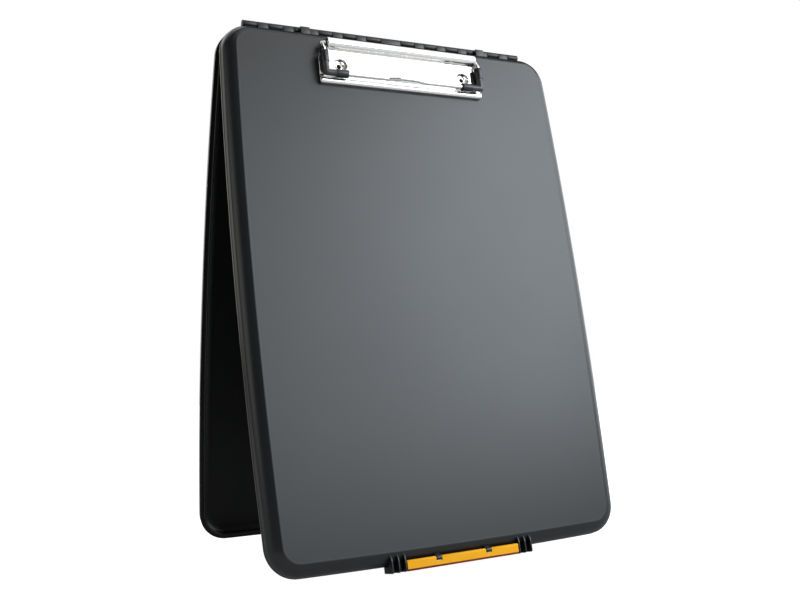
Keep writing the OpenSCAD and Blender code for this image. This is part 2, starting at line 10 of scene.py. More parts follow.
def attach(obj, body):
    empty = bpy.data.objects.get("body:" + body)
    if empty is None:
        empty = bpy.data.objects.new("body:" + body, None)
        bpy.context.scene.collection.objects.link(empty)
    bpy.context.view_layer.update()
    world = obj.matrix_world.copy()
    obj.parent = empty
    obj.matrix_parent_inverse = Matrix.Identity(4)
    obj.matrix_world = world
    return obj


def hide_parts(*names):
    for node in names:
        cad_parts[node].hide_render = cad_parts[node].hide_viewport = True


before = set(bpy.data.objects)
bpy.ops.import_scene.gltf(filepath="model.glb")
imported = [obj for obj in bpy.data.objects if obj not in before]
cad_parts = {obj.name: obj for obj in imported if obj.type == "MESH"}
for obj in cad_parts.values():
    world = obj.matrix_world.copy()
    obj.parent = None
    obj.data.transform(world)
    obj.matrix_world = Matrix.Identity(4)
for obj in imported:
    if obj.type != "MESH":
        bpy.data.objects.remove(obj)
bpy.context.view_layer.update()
MM = 0.001
LARGE_FLAT = 120.0               # square mm: faces larger than this are shaded flat
SLIVER = 0.002                   # mm: what a weld closes up after a cut or a bevel
SAME_POINT = 1e-4                # mm: points closer than this are one

# ---- Sizes of the clipboard in millimetres, as in its solid model ----

CASE_W, CASE_H, SHELL_T, WALL_T = 254.0, 356.0, 10.7, 2.2
CORNER_R, EDGE_R, ROLL_IN, ROLL_TURN = 19.0, 7.0, 7.6, 65.0
CREASE_RISE, CREASE_W = 0.07, 1.0
TOP_TUCK, TUCK_FROM, TUCK_FADE, TUCK_NEAR, TUCK_CURVE = 2.3, 7.97, 34.0, 8.0, 1.4
SIDE_BOW, BOTTOM_BOW, WALL_DRAFT = 4.1, 1.5, 0.6
RIM_BEAD_H, BEAD_STEP = 1.0, 0.35
LEAN = 11.2
TONGUE_H, TONGUE_T, TONGUE_GAP = 1.6, 1.3, 0.35
BITE, PARTING_GAP, SOFT_CLEAR = 1.1, 0.4, 0.3

HINGE_W, TOP_S, KNUCKLE_R = 220.0, 3.7, 2.35
KNUCKLE_W, MID_KNUCKLE_W = 7.6, 15.6
FIRST_PITCH, KNUCKLE_PITCH, KNUCKLE_GAP, HINGE_PLAY, SNUG = 23.4, 18.3, 0.8, 0.5, 0.45
SIDE_KNUCKLES = 5
PIN_R, PIN_END = 1.0, 1.4
STOP_PLACES, STOP_W, STOP_T, STOP_RISE = (-66.9, 73.8), 6.8, 2.2, 1.1

LATCH_W, LATCH_BEAD_R, LATCH_FACE_T, LATCH_SOLE_T = 81.6, 1.25, 1.5, 1.2
LATCH_FREE, LATCH_ROLL_GAP = 6.5, 0.8
NOTCH_W, NOTCH_X, BARB_W, BARB_H, BARB_T, BARB_Z = 4.4, 18.3, 8.0, 0.9, 1.0, -2.2
SLOT_PLAY = 0.35
HOOK_R, HOOK_MOUTH, PIVOT_ROD_R, PIVOT_TURN, BORE_PLAY = 1.6, 1.2, 0.8, 50.0, 0.05

FOOT_DROP, FIN_T, FIN_PITCH, FIN_COUNT, FIN_SLOT = 3.7, 1.1, 4.6, 3, 4.5
FIN_NOSE_R, FIN_RISE_S = 1.4, 3.2

PLATE_W, SHEET_T, PLATE_H, PLATE_REACH = 127.6, 0.9, 3.8, 28.7
SPINE_R, SPINE_W, SPINE_DROP, SPINE_END_T, SPINE_END_IN = 4.2, 118.0, 11.7, 1.2, 1.0
SPINE_ENDS = {-1: SPINE_W / 2 - 1.5, 1: SPINE_W / 2}
RIVET_X, RIVET_REACH, RIVET_R, RIVET_BORE = 48.6, 15.3, 2.0, 1.4
RIVET_SEAT_R, RIVET_SEAT_FALL = 3.3, 2.0
MARGIN_A, SHOULDER_RUN, VALLEY_RUN, VALLEY_DEPTH, LIP_BEND = 9.2, 7.6, 2.3, 1.75, 1.9

WIRE_R, BAIL_X, BAIL_REACH, BAIL_CORNER_R = 1.45, 60.7, 23.0, 3.0
LIFT_H, LIFT_OUTER_X, LIFT_INNER_X, ELBOW_R = 2.2, 14.5, 5.5, 1.8
GRIP_R, GRIP_FOOT, GRIP_START = 2.8, 15.7, 7.5
GRIP_ELBOW_R, ELBOW_LEG, ELBOW_FOOT = 2.3, 7.4, 7.2

# Widths of the bevels
SHELL_BEVEL, FIN_BEVEL, PIN_BEVEL, LATCH_BEVEL = 0.22, 0.3, 0.25, 0.16
SHEET_BEVEL, SMALL_BEVEL, GRIP_BEVEL = 0.14, 0.12, 0.22

BOTTOM_S = TOP_S + CASE_H + BOTTOM_BOW
FOOT_S = BOTTOM_S + FOOT_DROP
ROLL_Z = SHELL_T - EDGE_R
ROLL_S = BOTTOM_S - WALL_DRAFT - EDGE_R
PIVOT_OUT = EDGE_R + LATCH_ROLL_GAP + LATCH_BEAD_R
PIVOT_S = ROLL_S + PIVOT_OUT * math.cos(math.radians(PIVOT_TURN))
PIVOT_Z = ROLL_Z + PIVOT_OUT * math.sin(math.radians(PIVOT_TURN))
BRACKET_X = LATCH_W / 2 + 0.6
BRACKET_FRONT = PIVOT_Z + LATCH_BEAD_R + 0.1
LATCH_FACE_S = FOOT_S - 0.1
SPINE_MID_R = SPINE_R - SHEET_T / 2
SPINE_H = SPINE_R + SOFT_CLEAR
PLATE_MID_H = PLATE_H - SHEET_T / 2
BAIL_H = PLATE_H + SOFT_CLEAR + GRIP_R
AXIS_Z = math.cos(math.radians(LEAN)) * FOOT_S - math.sin(math.radians(LEAN)) * PARTING_GAP

# Board frames: x across, y up the board from the hinge axis, z out from the parting plane
STAND_FRONT = Matrix.Translation((0, 0, AXIS_Z * MM)) @ Matrix.Rotation(
    math.radians(90 - LEAN), 4, "X") @ Matrix.Scale(MM, 4)
STAND_REAR = Matrix.Translation((0, 0, AXIS_Z * MM)) @ Matrix.Rotation(math.pi, 4, "Z") @ \
    Matrix.Rotation(math.radians(90 - LEAN), 4, "X") @ Matrix.Scale(MM, 4)
ON_PANEL = STAND_FRONT @ Matrix.Translation((0, -(TOP_S + SPINE_DROP), SHELL_T))


# ---- Node trees written as expressions ----

class Wire:
    """A node's output, whose arithmetic adds Math nodes to its tree."""

    def __init__(self, bench, socket):
        self.bench, self.socket = bench, socket

    def math(self, operation, *others):
        values = dict(enumerate((self, *others)))
        return self.bench.add("ShaderNodeMath", {"operation": operation}, values)

    def swapped(self, operation, other):
        return self.bench.add("ShaderNodeMath", {"operation": operation}, {0: other, 1: self})

    def __add__(self, other):
        return self.math("ADD", other)

    def __sub__(self, other):
        return self.math("SUBTRACT", other)

    def __mul__(self, other):
        return self.math("MULTIPLY", other)

    def __truediv__(self, other):
        return self.math("DIVIDE", other)

    def __pow__(self, other):
        return self.math("POWER", other)

    def __rsub__(self, other):
        return self.swapped("SUBTRACT", other)

    __radd__ = __add__
    __rmul__ = __mul__


class Bench:
    """Adds nodes to one tree."""

    def __init__(self, tree):
        self.tree = tree

    def add(self, kind, settings=None, values=None, output=0):
        """A node of that type, with its settings made first and then its sockets filled."""
        node = self.tree.nodes.new(kind)
        for name, setting in (settings or {}).items():
            setattr(node, name, setting)
        for name, value in (values or {}).items():
            if isinstance(value, Wire):
                self.tree.links.new(value.socket, node.inputs[name])
            else:
                node.inputs[name].default_value = value
        return Wire(self, node.outputs[output]) if len(node.outputs) else node


class GeometryBench(Bench):
    """A geometry tree with named sizes, ending in realised, smooth, finished faces."""

    def __init__(self, name):
        super().__init__(bpy.data.node_groups.new(name, "GeometryNodeTree"))
        self.start = self.tree.nodes.new("NodeGroupInput")
        for way in ("INPUT", "OUTPUT"):
            self.tree.interface.new_socket("Geometry", in_out=way,
                                           socket_type="NodeSocketGeometry")

    def given(self, name, kind="NodeSocketFloat"):
        self.tree.interface.new_socket(name, in_out="INPUT", socket_type=kind)
        return Wire(self, self.start.outputs[name])

    def geometry(self):
        return Wire(self, self.start.outputs["Geometry"])

    def end(self, geometry):
        finish = self.given("Finish", "NodeSocketMaterial")
        whole = self.add("GeometryNodeRealizeInstances", {}, {"Geometry": geometry})
        smooth = self.add("GeometryNodeSetShadeSmooth", {}, {"Geometry": whole})
        coated = self.add("GeometryNodeSetMaterial", {}, {"Geometry": smooth, "Material": finish})
        self.add("NodeGroupOutput", {}, {"Geometry": coated})
        return self.tree


# ---- Finishes ----

def finish_bench(name):
    material = bpy.data.materials.new(name)
    material.use_nodes = True
    bench = Bench(material.node_tree)
    surface = material.node_tree.nodes["Principled BSDF"]
    place = bench.add("ShaderNodeTexCoord", output=3)
    return material, bench, surface, place


def connect(bench, surface, **sockets):
    for name, value in sockets.items():
        socket = surface.inputs[name.replace("_", " ")]
        if isinstance(value, Wire):
            bench.tree.links.new(value.socket, socket)
        else:
            socket.default_value = value


def noise(bench, place, scale, detail=2.0, rough=0.5):
    return bench.add("ShaderNodeTexNoise", {}, {
        "Vector": place, "Scale": scale, "Detail": detail, "Roughness": rough})


def mixed(bench, amount, low, high):
    """One colour where amount is 0, the other where it is 1."""
    return bench.add("ShaderNodeMix", {"data_type": "RGBA"}, {0: amount, 6: low, 7: high},
                     output=2)


def shaded(bench, colour, amount, dark, light):
    """The colour, from dark times to light times itself as amount goes from 0 to 1."""
    return mixed(bench, amount, [c * dark for c in colour] + [1],
                 [c * light for c in colour] + [1])


def part_of(bench, place, axis):
    return bench.add("ShaderNodeSeparateXYZ", {}, {"Vector": place}, output="xyz".index(axis))


def bump(bench, height, distance_mm, strength):
    return bench.add("ShaderNodeBump", {}, {
        "Height": height, "Distance": distance_mm * MM, "Strength": strength})


def on_front_board(bench, place):
    """Distances in millimetres from the middle, and up the front board from the hinge axis."""
    x, y, z = [part_of(bench, place, axis) for axis in "xyz"]
    lean = math.radians(LEAN)
    along = (z - AXIS_Z * MM) * math.cos(lean) + y * math.sin(lean)
    return x.math("ABSOLUTE") * (1 / MM), along * (1 / MM)


def stretched(bench, place, scale):
    return bench.add("ShaderNodeMapping", {}, {"Vector": place, "Scale": scale})


def moulded_plastic(name, colour, roughness, sheen_range=0.06, grain_mm=0.02):
    """Fine spark-eroded grain, cloudy tone from the melt's flow, and a few handling scuffs."""
    material, bench, surface, place = finish_bench(name)
    cloud = noise(bench, place, 14.0, 3.0)
    grain = noise(bench, place, 2600.0, 2.0, 0.6)
    pits = noise(bench, place, 900.0, 1.0)
    scuffs = noise(bench, stretched(bench, place, (30.0, 30.0, 420.0)), 1.0, 4.0, 0.7)
    scuffed = bench.add("ShaderNodeMapRange", {}, {
        "Value": scuffs, "From Min": 0.66, "From Max": 0.74, "To Min": 0.0, "To Max": 1.0})
    connect(
        bench, surface,
        Base_Color=shaded(bench, colour, cloud * 0.6 + grain * 0.4, 0.88, 1.12),
        Roughness=roughness + (cloud - 0.5) * sheen_range + (grain - 0.5) * 0.08 - scuffed * 0.03,
        Normal=bump(bench, grain + pits * 0.6, grain_mm, 0.55))
    return material


def glossy_plastic(name, colour, roughness, painted_shade_colour, painted_shade_height_mm, painted_shade_front_mm):
    """Smooth, slightly rippled plastic with a painted shade: dark red-brown low along the front of
    its face's thin foot, where the underside sits in shadow.
    """
    material, bench, surface, place = finish_bench(name)
    cloud = noise(bench, place, 60.0, 2.0)
    ripple = noise(bench, stretched(bench, place, (40.0, 300.0, 300.0)), 1.0, 2.0)
    # Painted shade: below the given height and in front of the given depth, the colour turns dark
    # red-brown in place of the shadow under the latch
    back, height = [part_of(bench, place, axis) for axis in "yz"]
    above_painted_shade, behind_painted_shade = [bench.add("ShaderNodeMapRange", {}, {
        "Value": value, "From Min": (limit - 0.3) * MM, "From Max": limit * MM})
        for value, limit in ((height, painted_shade_height_mm), (back, painted_shade_front_mm))]
    connect(
        bench, surface,
        Base_Color=mixed(bench, above_painted_shade.math("MAXIMUM", behind_painted_shade), (*painted_shade_colour, 1),
                         shaded(bench, colour, cloud, 0.93, 1.06)),
        Roughness=roughness + (ripple - 0.5) * 0.1,
        Normal=bump(bench, ripple, 0.03, 0.25),
        Specular_IOR_Level=0.16)
    return material


def plated(name, colour, roughness, drawn, bores=None):
    """Bright plate over drawn or rolled metal: faint lines along the draw, hazy spots between.

    Bores are given as (x, up the board, radius) in millimetres. They lie on both sides of the
    middle and are brown with tarnish inside.
    """
    material, bench, surface, place = finish_bench(name)
    lines = noise(bench, stretched(bench, place, drawn), 1.0, 3.0, 0.6)
    haze = noise(bench, place, 45.0, 3.0)
    skin, metal = shaded(bench, colour, haze, 0.96, 1.03), 1.0
    if bores:
        x, up, r = bores
        across, along = on_front_board(bench, place)
        across = across - x
        away = (across * across + (along - up) * (along - up)).math("SQRT")
        inside = bench.add("ShaderNodeMapRange", {}, {
            "Value": away, "From Min": r + 0.2, "From Max": r})
        tarnish = (0.25, 0.13, 0.065, 1)
        skin, metal = mixed(bench, inside, skin, tarnish), 1 - inside
    connect(
        bench, surface,
        Base_Color=skin,
        Metallic=metal,
        Roughness=roughness + (haze - 0.5) * 0.05 + (lines - 0.5) * 0.05,
        Normal=bump(bench, lines, 0.004, 0.3))
    return material


def soft_rubber(name, colour, roughness, elbow_colour, elbow_x, elbow_up):
    """Matt rubber with a fine tooth and dust in its grain, in another tone on the elbows."""
    material, bench, surface, place = finish_bench(name)
    tooth = noise(bench, place, 1500.0, 3.0, 0.7)
    dust = noise(bench, place, 240.0, 4.0, 0.65)
    across, along = on_front_board(bench, place)
    elbow = across.math("GREATER_THAN", elbow_x) * along.math("LESS_THAN", elbow_up)
    connect(
        bench, surface,
        Base_Color=mixed(bench, elbow, shaded(bench, colour, dust, 0.75, 1.35),
                         shaded(bench, elbow_colour, dust, 0.85, 1.2)),
        Roughness=roughness + (dust - 0.5) * 0.18,
        Normal=bump(bench, tooth, 0.03, 0.5))
    return material


CHARCOAL_FRONT = moulded_plastic("charcoal_front", (0.008, 0.0095, 0.0107), 0.34)
CHARCOAL_REAR = moulded_plastic("charcoal_rear", (0.006, 0.0065, 0.007), 0.42)
# The amber latch carries a painted shade: dark red-brown along the low front of its foot
AMBER = glossy_plastic("amber_latch", (0.90, 0.41, 0.003), 0.46, (0.16, 0.012, 0.004), 3.7,
                       -80.6)
PLATE_NICKEL = plated("plate_nickel", (0.88, 0.86, 0.83), 0.09, (8.0, 900.0, 900.0))
WIRE_NICKEL = plated("wire_nickel", (0.86, 0.855, 0.84), 0.12, (500.0, 500.0, 500.0))
RIVET_NICKEL = plated("rivet_nickel", (0.84, 0.83, 0.81), 0.14, (600.0, 600.0, 600.0),
                      bores=(RIVET_X, -(TOP_S + SPINE_DROP + RIVET_REACH), RIVET_BORE))
GRIP_RUBBER = soft_rubber(
    "grip_rubber", (0.012, 0.0125, 0.0135), 0.33, (0.036, 0.037, 0.043),
    BAIL_X - ELBOW_FOOT, ELBOW_LEG - (TOP_S + SPINE_DROP + BAIL_REACH))
DRAWN_STEEL = plated("drawn_steel", (0.62, 0.62, 0.63), 0.28, (20.0, 1200.0, 1200.0))
BLUED_STEEL = plated("blued_steel", (0.07, 0.072, 0.08), 0.34, (20.0, 1200.0, 1200.0))


# ---- Making pieces ----

def linked(name, data):
    piece = bpy.data.objects.new(name, data)
    bpy.context.scene.collection.objects.link(piece)
    return piece


def mesh_piece(name, points, faces):
    mesh = bpy.data.meshes.new(name)
    mesh.from_pydata([tuple(p) for p in points], [], faces)
    return linked(name, mesh)


@contextlib.contextmanager
def edited(piece):
    """The piece's mesh, open for edits."""
    mesh = bmesh.new()
    mesh.from_mesh(piece.data)
    yield mesh
    mesh.to_mesh(piece.data)
    mesh.free()


def settled(piece):
    """Turns a piece and its live modifiers into a plain mesh piece under the same name."""
    depsgraph = bpy.context.evaluated_depsgraph_get()
    mesh = bpy.data.meshes.new_from_object(piece.evaluated_get(depsgraph))
    name, matrix = piece.name, piece.matrix_world.copy()
    bpy.data.objects.remove(piece)
    plain = linked(name, mesh)
    plain.matrix_world = matrix
    return plain


def with_tree(piece, tree, **values):
    """Runs a geometry tree on a piece with its named inputs, words joined by underscores."""
    modifier = piece.modifiers.new(tree.name, "NODES")
    modifier.node_group = tree
    for item in tree.interface.items_tree:
        key = item.name.replace(" ", "_")
        if item.in_out == "INPUT" and key in values:
            modifier[item.identifier] = values[key]
    return settled(piece)


def with_modifier(piece, kind, **settings):
    modifier = piece.modifiers.new(kind.lower(), kind)
    for name, value in settings.items():
        setattr(modifier, name, value)
    return settled(piece)


def bevelled(piece, width, segments=2, angle=35):
    return with_modifier(piece, "BEVEL", width=width, segments=segments, limit_method="ANGLE",
                         angle_limit=math.radians(angle), miter_outer="MITER_ARC")


def welded(piece):
    """Takes out the slivers that a cut or a bevel leaves."""
    with edited(piece) as mesh:
        bmesh.ops.remove_doubles(mesh, verts=mesh.verts, dist=SLIVER)
        bmesh.ops.dissolve_degenerate(mesh, edges=mesh.edges, dist=SLIVER)
    return piece


def combined(piece, others, operation):
    for other in others:
        piece = with_modifier(piece, "BOOLEAN", object=other, operation=operation, solver="EXACT")
        bpy.data.objects.remove(other)
    return piece


def joined(name, pieces):
    """The pieces in one mesh, side by side."""
    mesh = bmesh.new()
    for piece in pieces:
        mesh.from_mesh(piece.data)
        bpy.data.objects.remove(piece)
    data = bpy.data.meshes.new(name)
    mesh.to_mesh(data)
    mesh.free()
    return linked(name, data)


def finished(piece, stand, material, body, nodes, sharp=40):
    """Stands a piece up in the row's frame and hands it to its body."""
    mesh = piece.data
    mesh.transform(stand)
    mesh.materials.clear()
    mesh.materials.append(material)
    mesh.set_sharp_from_angle(angle=math.radians(sharp))
    for face in mesh.polygons:
        face.use_smooth = face.area < LARGE_FLAT * MM ** 2
    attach(piece, body)
    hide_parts(*nodes)


def recalculated(piece):
    """Closes seams and turns the faces outwards."""
    with edited(piece) as mesh:
        bmesh.ops.remove_doubles(mesh, verts=mesh.verts, dist=SAME_POINT)
        bmesh.ops.recalc_face_normals(mesh, faces=mesh.faces)
    return piece


def prism(name, outline, x0, x1):
    """A (y, z) outline drawn out along x."""
    n = len(outline)
    points = [(x, y, z) for x in (x0, x1) for y, z in outline]
    faces = [list(range(n)), list(range(2 * n - 1, n - 1, -1))]
    faces += [[k, n + k, n + (k + 1) % n, (k + 1) % n] for k in range(n)]
    return recalculated(mesh_piece(name, points, faces))


def revolved(name, outline, steps=64):
    """A closed (r, z) outline turned about the z axis."""
    n = len(outline)
    points = [(r * math.cos(math.tau * k / steps), r * math.sin(math.tau * k / steps), z)
              for k in range(steps) for r, z in outline]
    faces = [[k * n + i, ((k + 1) % steps) * n + i, ((k + 1) % steps) * n + (i + 1) % n,
              k * n + (i + 1) % n] for k in range(steps) for i in range(n)]
    return recalculated(mesh_piece(name, points, faces))


def bar(name, x0, x1, r, y=0.0, z=0.0, steps=48):
    circle = [(y + r * math.cos(math.tau * k / steps), z + r * math.sin(math.tau * k / steps))
              for k in range(steps)]
    return prism(name, circle, x0, x1)


def arc(centre, r, start, sweep, steps):
    """Points along an arc, from start degrees on through sweep degrees."""
    return [(centre[0] + r * math.cos(math.radians(start + sweep * k / steps)),
             centre[1] + r * math.sin(math.radians(start + sweep * k / steps)))
            for k in range(steps + 1)]


def bend(a, b, c, r, steps):
    """Points along a bend of radius r at b, on the way from a to c."""
    a, b, c = Vector(a), Vector(b), Vector(c)
    u, v = (a - b).normalized(), (c - b).normalized()
    half = u.angle(v) / 2
    centre = b + (u + v).normalized() * r / math.sin(half)
    start = b + u * r / math.tan(half) - centre
    stop = b + v * r / math.tan(half) - centre
    turn = math.pi - 2 * half
    return [centre + (start * math.sin(turn * (1 - k / steps))
                      + stop * math.sin(turn * k / steps)) / math.sin(turn)
            for k in range(steps + 1)]


def poly_curve(name, points, radii=None, cyclic=False):
    curve = bpy.data.curves.new(name, "CURVE")
    curve.dimensions = "3D"
    spline = curve.splines.new("POLY")
    spline.points.add(len(points) - 1)
    for k, point in enumerate(points):
        spline.points[k].co = (*point, 1)
        spline.points[k].radius = radii[k] if radii else 1.0
    spline.use_cyclic_u = cyclic
    return linked(name, curve)


# ---- Trees ----

def shell_tree():
    """Sweeps a wall section round the shell's outline and bows the long sides and the bottom.

    Along the hinge the outer roll is tucked in, fully near the top and less and less below it.
    """
    bench = GeometryBench("moulded_shell")
    width, height = bench.given("Width"), bench.given("Height")
    corner, spacing = bench.given("Corner Radius"), bench.given("Spacing")
    side_bow, bottom_bow = bench.given("Side Bow"), bench.given("Bottom Bow")
    top, tuck = bench.given("Top"), bench.given("Tuck")
    tuck_from, tuck_full = bench.given("Tuck From"), bench.given("Tuck Full")
    tuck_fade = bench.given("Tuck Fade")
    outline = bench.add("GeometryNodeCurvePrimitiveQuadrilateral", {},
                        {"Width": width, "Height": height})
    outline = bench.add("GeometryNodeFilletCurve", {"mode": "POLY"},
                        {"Curve": outline, "Count": 24, "Radius": corner})
    outline = bench.add("GeometryNodeResampleCurve", {"mode": "LENGTH"},
                        {"Curve": outline, "Length": spacing})
    swept = bench.add("GeometryNodeCurveToMesh", {},
                      {"Curve": outline, "Profile Curve": bench.geometry()})
    place = bench.add("GeometryNodeInputPosition")
    split = {axis: part_of(bench, place, axis) for axis in "xyz"}
    below_top = height * 0.5 - split["y"]
    tucked = bench.add("ShaderNodeMapRange", {}, {
        "Value": split["z"], "From Min": tuck_from, "From Max": tuck_full}) ** TUCK_CURVE
    faded = bench.add("ShaderNodeMapRange", {}, {
        "Value": below_top, "From Min": tuck_fade, "From Max": TUCK_NEAR})
    down = 0.5 - split["y"] / height
    along = split["x"] / (width * 0.5)
    bowed = bench.add("ShaderNodeCombineXYZ", {}, {
        "X": split["x"] + along * side_bow * (1 - (2 * down - 1) * (2 * down - 1)),
        "Y": (tuck * tucked * faded + split["y"] - height * 0.5 - top
              - bottom_bow * (1 - along * along) * down),
        "Z": split["z"]})
    return bench.end(bench.add("GeometryNodeSetPosition", {},
                               {"Geometry": swept, "Position": bowed}))


def row_tree():
    """Copies of one piece in a row along x."""
    bench = GeometryBench("row_of_pieces")
    piece = bench.given("Piece", "NodeSocketObject")
    count = bench.given("Count", "NodeSocketInt")
    first, pitch = bench.given("First"), bench.given("Pitch")
    start = bench.add("ShaderNodeCombineXYZ", {}, {"X": first})
    step = bench.add("ShaderNodeCombineXYZ", {}, {"X": pitch})
    places = bench.add("GeometryNodeMeshLine", {"mode": "OFFSET"},
                       {"Count": count, "Start Location": start, "Offset": step})
    model = bench.add("GeometryNodeObjectInfo", {}, {"Object": piece}, output=4)
    return bench.end(bench.add("GeometryNodeInstanceOnPoints", {},
                               {"Points": places, "Instance": model}))


def tube_tree():
    """A round tube along a path of corners, each corner bent to the radius its point carries."""
    bench = GeometryBench("bent_tube")
    radius = bench.given("Tube Radius")
    bend_radius = bench.add("GeometryNodeInputRadius")
    path = bench.add("GeometryNodeFilletCurve", {"mode": "POLY"},
                     {"Curve": bench.geometry(), "Count": 14, "Radius": bend_radius,
                      "Limit Radius": True})
    section = bench.add("GeometryNodeCurvePrimitiveCircle", {},
                        {"Resolution": 28, "Radius": radius})
    return bench.end(bench.add("GeometryNodeCurveToMesh", {},
                               {"Curve": path, "Profile Curve": section, "Scale": 1.0,
                                "Fill Caps": True}))


SHELL_TREE, ROW_TREE, TUBE_TREE = shell_tree(), row_tree(), tube_tree()


def row(name, piece, count, first, pitch):
    return with_tree(mesh_piece(name, [(0, 0, 0)], []), ROW_TREE,
                     Piece=piece, Count=count, First=first, Pitch=pitch)


def closed_tube(name, corners, radius):
    """A tube through corners given as (point, bend radius), back to the first."""
    points, bends = zip(*corners)
    return with_tree(poly_curve(name, points, bends, cyclic=True), TUBE_TREE, Tube_Radius=radius)


# ---- Shells ----

def roll(depth, steps=16):
    """The rolled edge at that depth under its outer skin, which meets the panel in a crease."""
    turns = [math.radians(ROLL_TURN * k / steps) for k in range(steps + 1)]
    across = (ROLL_IN - depth * 0.4) / (1 - math.cos(turns[-1]))
    deep = (EDGE_R - depth) / math.sin(turns[-1])
    return [(WALL_DRAFT + depth + across * (1 - math.cos(t)), ROLL_Z + deep * math.sin(t))
            for t in turns]


def shell(name, rim):
    """A shallow tray: its floor, inner roll, the rim given, outer roll and panel."""
    inner = roll(WALL_T)[::-1]
    outer = roll(0.0)
    edge, level = outer[-1]
    section = [(inner[0][0] + CREASE_W, inner[0][1])] + inner + rim + outer[:-1]
    # A faint dip, the ridge of the crease and the level panel
    section += [(edge - 0.15, level - 0.01), (edge + 0.1, level + CREASE_RISE),
                (edge + CREASE_W, level), (edge + 1.5 * CREASE_W, level)]
    base = poly_curve(name, [(-inset, -z, 0) for inset, z in section])
    piece = with_tree(base, SHELL_TREE, Width=CASE_W, Height=CASE_H, Corner_Radius=CORNER_R,
                      Spacing=2.4, Side_Bow=SIDE_BOW, Bottom_Bow=BOTTOM_BOW, Top=TOP_S,
                      Tuck=TOP_TUCK, Tuck_From=TUCK_FROM, Tuck_Full=SHELL_T - 0.1,
                      Tuck_Fade=TUCK_FADE)
    with edited(piece) as mesh:
        bmesh.ops.remove_doubles(mesh, verts=mesh.verts, dist=SAME_POINT)
        bmesh.ops.holes_fill(mesh, edges=[e for e in mesh.edges if e.is_boundary], sides=0)
        bmesh.ops.recalc_face_normals(mesh, faces=mesh.faces)
    return piece


FRONT_RIM = [(WALL_T, 0.0), (0.0, 0.0), (0.0, RIM_BEAD_H), (BEAD_STEP, RIM_BEAD_H + BEAD_STEP)]
TONGUE_OUT = WALL_T + TONGUE_GAP
TONGUE_IN = TONGUE_OUT + TONGUE_T
REAR_RIM = [
    (TONGUE_IN, 2.4), (TONGUE_IN, BEAD_STEP - TONGUE_H), (TONGUE_IN - BEAD_STEP, -TONGUE_H),
    (TONGUE_OUT + BEAD_STEP, -TONGUE_H), (TONGUE_OUT, BEAD_STEP - TONGUE_H), (TONGUE_OUT, 0.0),
    (0.0, 0.0), (BEAD_STEP, ROLL_Z / 2)]


def knuckle(half):
    """A knuckle with its web, to be set in a row."""
    meet = -math.sqrt(KNUCKLE_R ** 2 - PARTING_GAP ** 2)
    turn = math.degrees(math.atan2(PARTING_GAP, meet))
    outline = [(-TOP_S - BITE, KNUCKLE_R)] + arc((0, 0), KNUCKLE_R, 90, turn - 90 - 360, 26)
    outline += [(-TOP_S - BITE, PARTING_GAP)]
    return bevelled(prism("knuckle", outline, -half, half), SHELL_BEVEL)


def knuckle_row(name, rows):
    """Rows of knuckles, each given as (half width, count, first, pitch)."""
    made = []
    for half, count, first, pitch in rows:
        model = knuckle(half)
        made.append(row("knuckles", model, count, first, pitch))
        bpy.data.objects.remove(model)
    return joined(name, made)


def knuckle_x(k):
    """The middle of the front shell's knuckle number k on one side, from 1."""
    return FIRST_PITCH + (k - 1) * KNUCKLE_PITCH


def rear_span(k):
    """Half width and middle of the rear knuckle outside front knuckle k, the middle one being 0."""
    lo = MID_KNUCKLE_W / 2 if k == 0 else knuckle_x(k) + KNUCKLE_W / 2
    hi = HINGE_W / 2 if k == SIDE_KNUCKLES else knuckle_x(k + 1) - KNUCKLE_W / 2 - KNUCKLE_GAP
    return (hi - lo - KNUCKLE_GAP) / 2, (hi + lo + KNUCKLE_GAP) / 2


def bracket_fin(front, name, x0, x1):
    """A fin as seen from the side, rooted in the middle of the bottom wall."""
    skin = [(inset, z) for inset, z in roll(WALL_T / 2) if z < front - 0.1 and inset < EDGE_R]
    outline = [(-FOOT_S, PARTING_GAP), (WALL_T / 2 - BOTTOM_S, PARTING_GAP)]
    outline += [(inset - BOTTOM_S, z) for inset, z in skin]
    if front > SHELL_T:
        root = (-ROLL_S, SHELL_T - BITE / 2)
        outline += [root] + [tuple(p) for p in bend(root, (-(ROLL_S + FIN_RISE_S), front),
                                                    (-FOOT_S, front), 5, 10)]
    else:
        outline.append((skin[-1][0] + 0.1 - BOTTOM_S, front))
    outline += [tuple(p) for p in bend((-ROLL_S, front), (-FOOT_S, front),
                                       (-FOOT_S, PARTING_GAP), FIN_NOSE_R, 10)]
    return prism(name, outline, x0, x1)


def brackets(name):
    """Three thin fins and the core between them, on both sides of the latch."""
    fin = bevelled(bracket_fin(BRACKET_FRONT, "fin", 0, FIN_T), FIN_BEVEL)
    made = []
    for side in (-1, 1):
        first = BRACKET_X if side > 0 else -BRACKET_X - FIN_T
        made.append(row("fins", fin, FIN_COUNT, first, side * FIN_PITCH))
        x0, x1 = BRACKET_X + FIN_T / 2, BRACKET_X + (FIN_COUNT - 1) * FIN_PITCH + FIN_T / 2
        made.append(bracket_fin(BRACKET_FRONT - FIN_SLOT, "core", *sorted((side * x0, side * x1))))
    bpy.data.objects.remove(fin)
    return joined(name, made)


def pierced(tray, cuts):
    """A tray with its holes cut and its edges bevelled."""
    return welded(bevelled(welded(combined(tray, cuts, "DIFFERENCE")), SHELL_BEVEL))


front_tray = shell("front_shell_tray", FRONT_RIM)
rivet_cuts = []
for side in (-1, 1):
    cut = revolved("cut", [(0.01, -9), (RIVET_R, -9), (RIVET_R, 3), (0.01, 3)], 32)
    cut.data.transform(Matrix.Translation(
        (side * RIVET_X, -(TOP_S + SPINE_DROP + RIVET_REACH), SHELL_T)))
    rivet_cuts.append(cut)
front_tray = pierced(front_tray, rivet_cuts)
finished(front_tray, STAND_FRONT, CHARCOAL_FRONT, "front", ["front_shell"])

